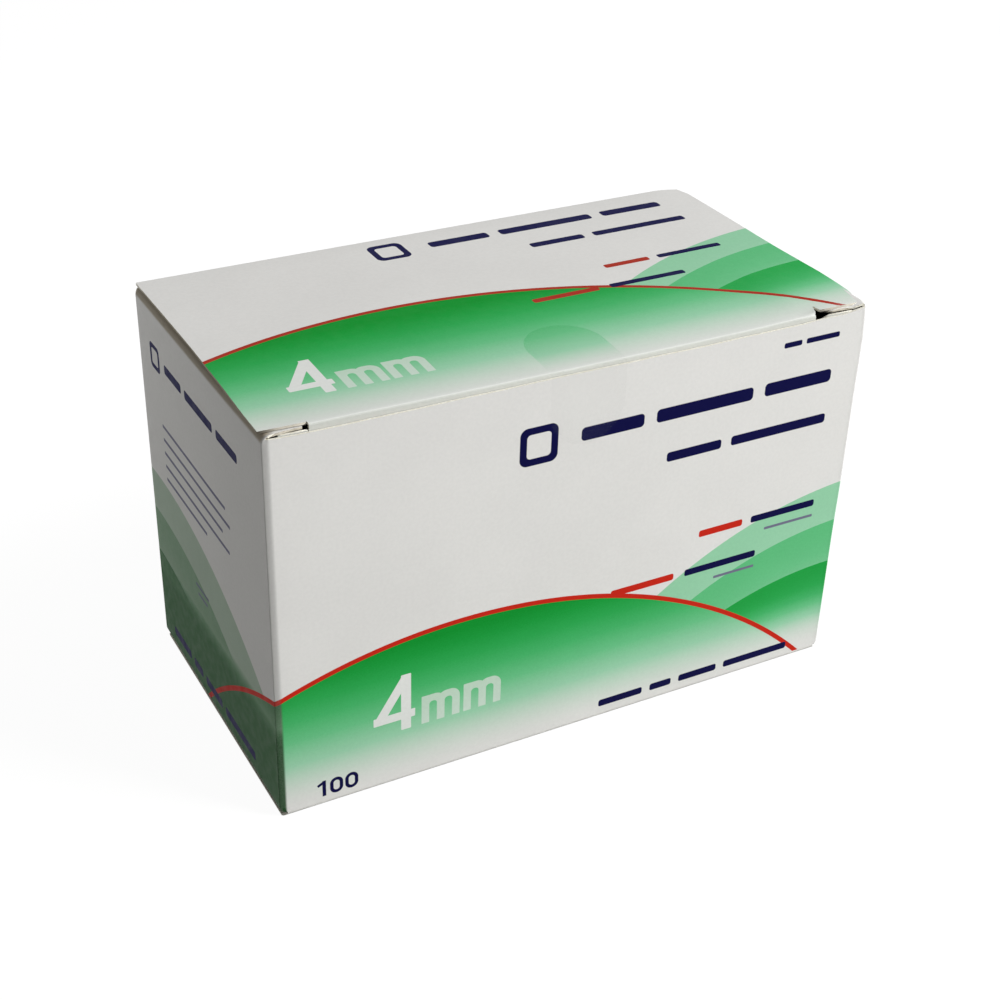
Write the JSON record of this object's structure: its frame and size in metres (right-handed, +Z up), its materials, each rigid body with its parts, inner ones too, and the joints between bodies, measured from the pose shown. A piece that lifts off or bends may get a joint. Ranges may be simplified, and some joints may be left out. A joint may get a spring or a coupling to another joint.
{
  "type": "sealed folding carton of pen needles",
  "caption": "White reverse-tuck folding carton with a green and red wave print, shut at both ends and sealed over the top front edge with a clear film tab.",
  "frame": {"origin": "middle of the underside", "axes": "+X to the right along the front panel, +Y from the front panel to the back, +Z up"},
  "size_m": [0.12, 0.0643, 0.0796],
  "materials": {
    "printed_board": "coated paperboard, satin, printed with a green and red wave",
    "clear_film": "thin clear adhesive film, glossy"
  },
  "bodies": {
    "root": {"carton": "printed_board", "clear_seal": "clear_film"}
  },
  "joints": []
}
